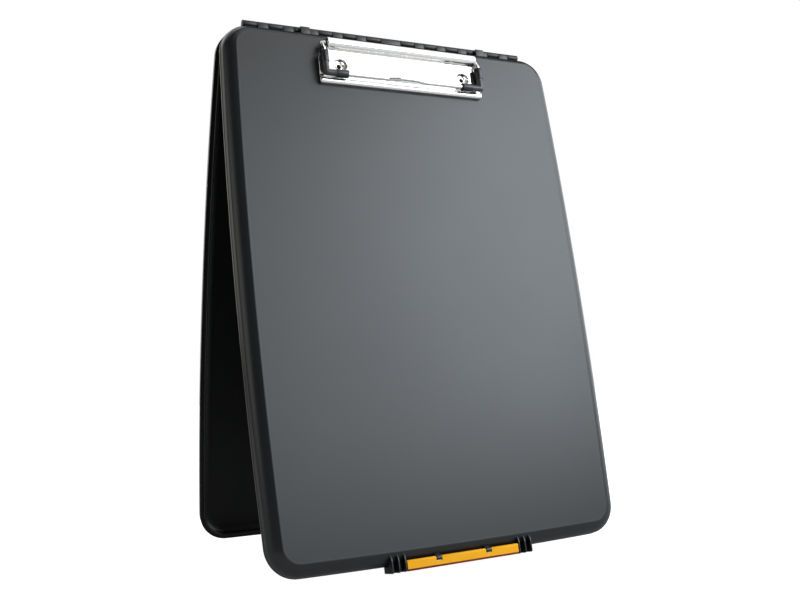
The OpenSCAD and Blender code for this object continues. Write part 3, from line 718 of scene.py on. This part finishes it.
rear_tray = shell("rear_shell_tray", REAR_RIM)
slot_cuts = []
for side in (-1, 1):
    near, far = -BARB_Z - SLOT_PLAY, -BARB_Z + BARB_T + SLOT_PLAY
    x, half_w = side * NOTCH_X, BARB_W / 2 + SLOT_PLAY
    slot_cuts.append(prism("cut", [(-BOTTOM_S - 1, near), (-BOTTOM_S + WALL_T + 1, near),
                                   (-BOTTOM_S + WALL_T + 1, far), (-BOTTOM_S - 1, far)],
                           x - half_w, x + half_w))
rear_tray = pierced(rear_tray, slot_cuts)
finished(rear_tray, STAND_REAR, CHARCOAL_REAR, "rear", ["rear_shell"])

# Each rear knuckle is longer on its right by twice SNUG, so that less light shows through
front_rows = [(MID_KNUCKLE_W / 2, 1, 0, 0)]
rear_rows = []
for side in (-1, 1):
    front_rows.append((KNUCKLE_W / 2, SIDE_KNUCKLES, side * FIRST_PITCH, side * KNUCKLE_PITCH))
    for k, count in ((0, 1), (1, SIDE_KNUCKLES - 1), (SIDE_KNUCKLES, 1)):
        half, centre = rear_span(k)
        rear_rows.append((half + SNUG, count, side * centre - HINGE_PLAY + SNUG,
                          side * KNUCKLE_PITCH))
finished(knuckle_row("front_shell_knuckles", front_rows), STAND_FRONT, CHARCOAL_FRONT,
         "front", ["front_shell"])
finished(knuckle_row("rear_shell_knuckles", rear_rows), STAND_REAR, CHARCOAL_REAR,
         "rear", ["rear_shell"])

finished(brackets("front_shell_brackets"), STAND_FRONT, CHARCOAL_FRONT,
         "front", ["front_shell"])
finished(brackets("rear_shell_brackets"), STAND_REAR, CHARCOAL_REAR,
         "rear", ["rear_shell"])

lug_z = KNUCKLE_R + SOFT_CLEAR + 0.05
lug_outline = [(STOP_RISE, lug_z), (STOP_RISE, lug_z + STOP_T - 0.5),
               (STOP_RISE - 0.5, lug_z + STOP_T), (-TOP_S - BITE - 0.6, lug_z + STOP_T),
               (-TOP_S - BITE, lug_z)]
lug = bevelled(prism("lug", lug_outline, -STOP_W / 2, STOP_W / 2), FIN_BEVEL, 3)
lugs = row("front_shell_stop_lugs", lug, 2, STOP_PLACES[0], STOP_PLACES[1] - STOP_PLACES[0])
bpy.data.objects.remove(lug)
finished(lugs, STAND_FRONT, CHARCOAL_FRONT, "front", ["front_shell"])

hook_w = NOTCH_W - 2 * (SOFT_CLEAR + 0.1)
hook_reach = PIVOT_OUT - EDGE_R + BITE
hook = prism("hook", arc((0, 0), HOOK_R, 0, 360 - 7.5, 47), -hook_w / 2, hook_w / 2)
stem_half = HOOK_R * 0.7
stem = prism("stem", [(0, -stem_half), (hook_reach, -stem_half), (hook_reach, stem_half),
                      (0, stem_half)], -hook_w / 2, hook_w / 2)
stem.data.transform(Matrix.Rotation(math.radians(-PIVOT_TURN), 4, "X"))
hook = combined(hook, [stem], "UNION")
hook = combined(hook, [
    bar("cut", -hook_w, hook_w, PIVOT_ROD_R + BORE_PLAY),
    prism("cut", [(-3, -HOOK_MOUTH / 2), (0, -HOOK_MOUTH / 2), (0, HOOK_MOUTH / 2),
                  (-3, HOOK_MOUTH / 2)], -hook_w, hook_w)], "DIFFERENCE")
hook.data.transform(Matrix.Translation((0, -PIVOT_S, PIVOT_Z)))
hooks = row("front_shell_latch_hooks", hook, 2, -NOTCH_X, 2 * NOTCH_X)
bpy.data.objects.remove(hook)
finished(welded(bevelled(welded(hooks), SMALL_BEVEL)), STAND_FRONT, CHARCOAL_FRONT, "front",
         ["front_shell"])

pin = bevelled(bar("hinge_pin_steel", -HINGE_W / 2 + PIN_END + SOFT_CLEAR,
                   HINGE_W / 2 - HINGE_PLAY - 0.2, PIN_R), PIN_BEVEL)
finished(pin, STAND_FRONT, BLUED_STEEL, "front", ["hinge_pin"])

# ---- Latch ----

face_front = PIVOT_Z + LATCH_BEAD_R
face_back = face_front - LATCH_FACE_T
bead_meet = math.degrees(math.asin((face_back - PIVOT_Z) / LATCH_BEAD_R))
latch_outline = arc((-PIVOT_S, PIVOT_Z), LATCH_BEAD_R, 90, -(270 + bead_meet), 30)
latch_outline += [(-LATCH_FACE_S, face_back)]
latch_outline += [tuple(p) for p in bend((-LATCH_FACE_S, face_back), (-LATCH_FACE_S, face_front),
                                         (-PIVOT_S, face_front), 0.6, 6)]
latch = prism("latch_moulding", latch_outline, -LATCH_W / 2, LATCH_W / 2)
sole_end_s, end_z, barb_tip = BOTTOM_S + 1.3, BARB_Z - BARB_T, -(BOTTOM_S - BARB_H)
sole_front = face_back + 0.4
swing = Matrix.Translation((0, -PIVOT_S, PIVOT_Z)) @ Matrix.Rotation(
    math.radians(-LATCH_FREE), 4, "X") @ Matrix.Translation((0, PIVOT_S, -PIVOT_Z))
sole = prism("sole", [(-LATCH_FACE_S + 0.1, sole_front),
                      (-LATCH_FACE_S + 0.1 + LATCH_SOLE_T, sole_front),
                      (-sole_end_s + LATCH_SOLE_T, end_z), (-sole_end_s, end_z)],
             -LATCH_W / 2, LATCH_W / 2)
sole.data.transform(swing)
added = [sole]
for side in (-1, 1):
    x = side * NOTCH_X
    barb = prism("barb", [(-sole_end_s, BARB_Z), (-sole_end_s, end_z), (barb_tip - 0.3, end_z),
                          (barb_tip, end_z + 0.4), (barb_tip, BARB_Z)],
                 x - BARB_W / 2, x + BARB_W / 2)
    barb.data.transform(swing)
    added.append(barb)
latch = combined(latch, added, "UNION")
notch_depth = HOOK_R + 0.06
notches = [prism("cut", [(-PIVOT_S - notch_depth, PIVOT_Z - 3), (-PIVOT_S + 3, PIVOT_Z - 3),
                         (-PIVOT_S + 3, PIVOT_Z + 3), (-PIVOT_S - notch_depth, PIVOT_Z + 3)],
                 side * NOTCH_X - NOTCH_W / 2, side * NOTCH_X + NOTCH_W / 2) for side in (-1, 1)]
latch = combined(latch, notches, "DIFFERENCE")
latch = combined(latch, [bar("rod", -BRACKET_X - FIN_T, BRACKET_X + FIN_T, PIVOT_ROD_R,
                             -PIVOT_S, PIVOT_Z)], "UNION")
finished(bevelled(latch, LATCH_BEVEL), STAND_FRONT, AMBER, "latch", ["latch"])


# ---- Clip plate ----

def plate_path():
    """Middle line of the sheet in section: rolled spine, flat, valley, lip."""
    foot_bend = 1.5
    foot_rise = PLATE_MID_H + foot_bend - SPINE_H
    foot_out = math.sqrt((SPINE_MID_R + foot_bend) ** 2 - foot_rise ** 2)
    foot_angle = math.degrees(math.atan2(foot_rise, foot_out))
    lip_a = PLATE_REACH - SHEET_T / 2
    shoulder_a = lip_a - SHOULDER_RUN
    low, flat = PLATE_MID_H - VALLEY_DEPTH, PLATE_MID_H
    path = [(-y, z) for y, z in arc((0, SPINE_H), SPINE_MID_R, 312, foot_angle - 312, 60)]
    path += [(-y, z) for y, z in
             arc((foot_out, PLATE_MID_H + foot_bend), foot_bend, 180 + foot_angle,
                 90 - foot_angle, 10)]
    corners = [(-foot_out, flat), (-shoulder_a, flat), (-shoulder_a - VALLEY_RUN, low),
               (-shoulder_a - 2 * VALLEY_RUN, flat), (-lip_a, flat), (-lip_a, 0.0)]
    for k, r in enumerate((2.0, 1.6, 1.2, LIP_BEND), 1):
        path += [tuple(p) for p in bend(*corners[k - 1:k + 2], r, 8)]
    path.append(corners[-1])
    return path


def finer(path, step):
    """The same path with no two points further apart than the step."""
    out = [path[0]]
    for a, b in zip(path, path[1:]):
        n = max(1, math.ceil(math.dist(a, b) / step))
        out += [(a[0] + (b[0] - a[0]) * k / n, a[1] + (b[1] - a[1]) * k / n)
                for k in range(1, n + 1)]
    return out


def smooth_step(t):
    t = min(1.0, max(0.0, t))
    return t * t * (3 - 2 * t)


def plate_columns():
    """Places across the plate as (x, drop), close together over the dimples."""
    half = [0.0]
    fine, coarse, dimple_reach = 0.45, 2.0, 7.5
    while half[-1] < SPINE_W / 2 - 1e-6:
        near = abs(half[-1] - RIVET_X) < dimple_reach
        half.append(min(half[-1] + (fine if near else coarse), SPINE_W / 2))
    half.insert(-1, SPINE_ENDS[-1])
    half.sort()
    edge, r = PLATE_W / 2 - SHEET_T / 2, 1.0
    outer = [(SPINE_W / 2 + 1.6, 0.0), (edge - r, 0.0)]
    outer += [(edge - r + r * math.sin(math.radians(t)), r - r * math.cos(math.radians(t)))
              for t in range(15, 91, 15)]
    outer += [(edge, PLATE_MID_H * 0.6), (edge, PLATE_MID_H)]
    right = [(x, 0.0) for x in half] + outer
    return [(-x, d) for x, d in right[:0:-1]] + right


def plate_sheet():
    """The pressed sheet: one section right across, dimpled at the rivets, its corners rounded."""
    rows, columns = finer(plate_path(), 0.45), plate_columns()
    corner_r = 1.6
    flat_from = next(k for k, p in enumerate(rows) if -p[0] > MARGIN_A)
    corner_x, corner_y = PLATE_W / 2 - corner_r, -PLATE_REACH + corner_r
    points, faces = [], []
    for k, (y, h) in enumerate(rows):
        for x, drop in columns:
            side = math.copysign(1.0, x)
            low = drop
            if k >= flat_from:
                r = math.hypot(abs(x) - RIVET_X, y + RIVET_REACH)
                fall = smooth_step((r - RIVET_SEAT_R) / RIVET_SEAT_FALL)
                dimple = (PLATE_MID_H - SHEET_T / 2) * (1 - fall)
                low = max(low, dimple)
            level = min(h, PLATE_MID_H - low) if k >= flat_from else h
            px, py = abs(x), y
            dx, dy = px - corner_x, corner_y - py
            if dx > 0 and dy > 0:
                factor = max(dx, dy) / math.hypot(dx, dy)
                px, py = corner_x + dx * factor, corner_y - dy * factor
            points.append((side * px, py, level))
    n = len(columns)
    for k in range(len(rows) - 1):
        for j in range(n - 1):
            x = (columns[j][0] + columns[j + 1][0]) / 2
            y = (rows[k][0] + rows[k + 1][0]) / 2
            outside = abs(x) > SPINE_ENDS[-1 if x < 0 else 1] and k < flat_from
            in_hole = math.hypot(abs(x) - RIVET_X, y + RIVET_REACH) < RIVET_R and k >= flat_from
            if not outside and not in_hole:
                faces.append([k * n + j, k * n + j + 1, (k + 1) * n + j + 1, (k + 1) * n + j])
    piece = mesh_piece("clip_plate_sheet", points, faces)
    with edited(piece) as mesh:
        bmesh.ops.remove_doubles(mesh, verts=mesh.verts, dist=SLIVER / 2)
        bmesh.ops.dissolve_degenerate(mesh, edges=mesh.edges, dist=SLIVER / 2)
        loose = [v for v in mesh.verts if not v.link_faces]
        bmesh.ops.delete(mesh, geom=loose, context="VERTS")
    piece = with_modifier(piece, "SOLIDIFY", thickness=SHEET_T, offset=0.0,
                          use_even_offset=False, use_rim=True)
    return recalculated(piece)


sheet = bevelled(plate_sheet(), SHEET_BEVEL, angle=60)
finished(sheet, ON_PANEL, PLATE_NICKEL, "front", ["clip_plate"])
ends = []
for side in (-1, 1):
    outer = SPINE_ENDS[side] - SPINE_END_IN
    x0, x1 = sorted((side * (outer - SPINE_END_T), side * outer))
    end = bar("end", x0, x1, SPINE_MID_R, 0, SPINE_H)
    ends.append(combined(end, [bar("cut", x0 - 1, x1 + 1, WIRE_R + BORE_PLAY, 0, SPINE_H)],
                         "DIFFERENCE"))
finished(bevelled(joined("clip_plate_spine_ends", ends), SMALL_BEVEL), ON_PANEL, PLATE_NICKEL,
         "front", ["clip_plate"])

# Flange under the panel, shank, and a head rolled back into the bore, as (radius, height)
rivet_outline = [(RIVET_BORE, -2.8), (RIVET_BORE + 0.1, -2.9), (2.9, -2.9), (3.15, -2.75),
                 (3.2, -2.5), (3.2, -2.2), (2.0, -2.2), (2.0, 0.9), (2.9, 0.9), (2.9, 1.1),
                 (2.75, 1.4), (2.5, 1.6), (2.15, 1.7), (1.85, 1.68), (1.6, 1.58),
                 (RIVET_BORE + 0.06, 1.4), (RIVET_BORE, 1.15)]
for side, node in ((-1, "rivet_left"), (1, "rivet_right")):
    rivet = revolved(node + "_head", rivet_outline)
    rivet.data.transform(Matrix.Translation((side * RIVET_X, -RIVET_REACH, 0)))
    finished(rivet, ON_PANEL, RIVET_NICKEL, "front", [node])

# ---- Bail and grips ----

leg_corner = (BAIL_X, -BAIL_REACH, BAIL_H)
drop_run, drop_bend, lift_bend = 5, 4, 6
half_bail = [((BAIL_X, 0, SPINE_H), ELBOW_R), ((BAIL_X, -drop_run, BAIL_H), drop_bend),
             (leg_corner, BAIL_CORNER_R),
             ((LIFT_OUTER_X, -BAIL_REACH, BAIL_H), lift_bend),
             ((LIFT_INNER_X, -BAIL_REACH, BAIL_H + LIFT_H), lift_bend)]
bail_corners = half_bail + [((-p[0], p[1], p[2]), r) for p, r in half_bail[::-1]]
bail = closed_tube("clip_bail_wire", bail_corners, WIRE_R)
finished(recalculated(bail), ON_PANEL, WIRE_NICKEL, "bail", ["clip_bail"])


def grip_rings(sides=36):
    """Rings of the right-hand grip: sleeve on the leg, thinner square elbow, sleeve on the foot."""
    corner, up = Vector((BAIL_X, -BAIL_REACH, BAIL_H)), Vector((0, 0, 1))
    leg, foot = Vector((0, 1, 0)), Vector((-1, 0, 0))
    turns = [math.tau * k / sides for k in range(sides)]

    def straight(centre, inner, r):
        return [centre + up * r * math.cos(t) + inner * r * math.sin(t) for t in turns]

    rings = [straight(Vector((BAIL_X, -GRIP_START, BAIL_H)), foot, GRIP_R)]
    rings += [straight(corner + leg * ELBOW_LEG, foot, r) for r in (GRIP_R, GRIP_ELBOW_R)]
    q, steps = GRIP_ELBOW_R + 0.15, 18
    for step in range(steps + 1):
        turn = math.radians(90 * step / steps)
        out = Vector((math.cos(turn), -math.sin(turn), 0))
        square = (math.cos(turn) ** 4 + math.sin(turn) ** 4) ** -0.25
        rings.append([corner + (leg + foot) * q + up * GRIP_ELBOW_R * math.cos(t)
                      + out * (q - GRIP_ELBOW_R * math.sin(t)) * square for t in turns])
    rings += [straight(corner + foot * ELBOW_FOOT, leg, r) for r in (GRIP_ELBOW_R, GRIP_R)]
    rings.append(straight(corner + foot * GRIP_FOOT, leg, GRIP_R))
    return rings


def skinned(name, rings):
    """A closed skin over rings of as many points each."""
    n = len(rings[0])
    faces = [list(range(n)), list(range((len(rings) - 1) * n, len(rings) * n))]
    faces += [[k * n + i, k * n + (i + 1) % n, (k + 1) * n + (i + 1) % n, (k + 1) * n + i]
              for k in range(len(rings) - 1) for i in range(n)]
    return recalculated(mesh_piece(name, [p for ring in rings for p in ring], faces))


for side, node in ((-1, "grip_left"), (1, "grip_right")):
    grip = skinned(node + "_rubber", [[(side * p.x, p.y, p.z) for p in ring]
                                      for ring in grip_rings()])
    finished(bevelled(grip, GRIP_BEVEL, 3), ON_PANEL, GRIP_RUBBER, "bail", [node])

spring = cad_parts["clip_spring"]
spring.data.materials.clear()
spring.data.materials.append(DRAWN_STEEL)


# ---- Floor, light and camera ----

def stage_floor():
    """A white light table under the clipboard, whose full glow is for the camera alone."""
    material, bench, surface, place = finish_bench("white_table")
    seen = bench.add("ShaderNodeLightPath")
    connect(
        bench, surface,
        Base_Color=shaded(bench, (0.5, 0.5, 0.5), noise(bench, place, 3.0), 0.98, 1.02),
        Roughness=0.9,
        Emission_Color=mixed(bench, seen, (0.04, 0.04, 0.04, 1), (1, 1, 1, 1)),
        Emission_Strength=0.94)
    half = 1.6
    floor = mesh_piece("floor", [(-half, -half, 0), (half, -half, 0), (half, half, 0),
                                 (-half, half, 0)], [[0, 1, 2, 3]])
    floor.data.materials.append(material)


def softbox(name, turn, rise, width, height, brightness, tint=(1, 1, 1)):
    """A box of light, turned round the clipboard from its front and raised, in degrees."""
    light = bpy.data.lights.new(name, "AREA")
    light.shape, light.size, light.size_y = "RECTANGLE", width, height
    light.energy, light.color = brightness * math.pi * width * height, tint
    turn, rise = math.radians(turn), math.radians(rise)
    aim = Vector((math.sin(turn) * math.cos(rise), -math.cos(turn) * math.cos(rise),
                  math.sin(rise)))
    lamp = linked(name, light)
    middle, distance = Vector((0, 0, 0.2)), 1.6
    lamp.location = middle + aim * distance
    lamp.rotation_euler = (-aim).to_track_quat("-Z", "Y").to_euler()


def studio():
    """A dim room with a white backdrop for the camera, and eight boxes of light."""
    world = bpy.data.worlds.new("studio")
    bpy.context.scene.world = world
    world.use_nodes = True
    bench = Bench(world.node_tree)
    world.node_tree.nodes.clear()
    seen = bench.add("ShaderNodeLightPath")
    room = bench.add("ShaderNodeBackground", {}, {"Color": (1, 1, 1, 1), "Strength": 0.02})
    backdrop = bench.add("ShaderNodeBackground", {}, {"Color": (1, 1, 1, 1), "Strength": 1.0})
    both = bench.add("ShaderNodeMixShader", {}, {0: seen, 1: room, 2: backdrop})
    bench.add("ShaderNodeOutputWorld", {}, {"Surface": both})
    cool, warm = (0.88, 0.945, 1.0), (1.0, 0.97, 0.93)
    softbox("key_right", 54, 24.5, 1.25, 0.97, 4.15, cool)
    softbox("key_front", 26, 19, 1.1, 1.0, 3.5, cool)
    softbox("right_side", 99, 13, 1.2, 1.1, 2.0, cool)
    softbox("overhead", 35, 64, 1.7, 1.7, 1.2)
    softbox("left_side", -84, 14, 1.25, 0.9, 1.2, warm)
    softbox("back_left", -148, 16, 1.3, 1.0, 0.8, warm)
    softbox("backdrop", 172, 14, 1.5, 1.0, 1.1, warm)
    softbox("back_fill", 206, 50, 1.2, 1.0, 1.8)
    bpy.context.scene.view_settings.view_transform = "Standard"


def photo_camera():
    """Stands where the case's edges line up with those in the photograph."""
    place, lens = (-0.3129, -0.6012, 0.1454), 42.75
    yaw, pitch, tilt = 0.4829, 0.0389, -0.031
    forward = Vector((math.sin(yaw) * math.cos(pitch), math.cos(yaw) * math.cos(pitch),
                      math.sin(pitch)))
    right = Vector((math.cos(yaw), -math.sin(yaw), 0))
    up = right.cross(forward)
    level = right * math.cos(tilt) + up * math.sin(tilt)
    plumb = up * math.cos(tilt) - right * math.sin(tilt)
    data = bpy.data.cameras.new("photo_camera")
    data.sensor_width, data.lens = 36, lens
    camera = linked("photo_camera", data)
    camera.matrix_world = Matrix.Translation(place) @ Matrix(
        (level, plumb, -forward)).transposed().to_4x4()
    bpy.context.scene.camera = camera


stage_floor()
studio()
photo_camera()
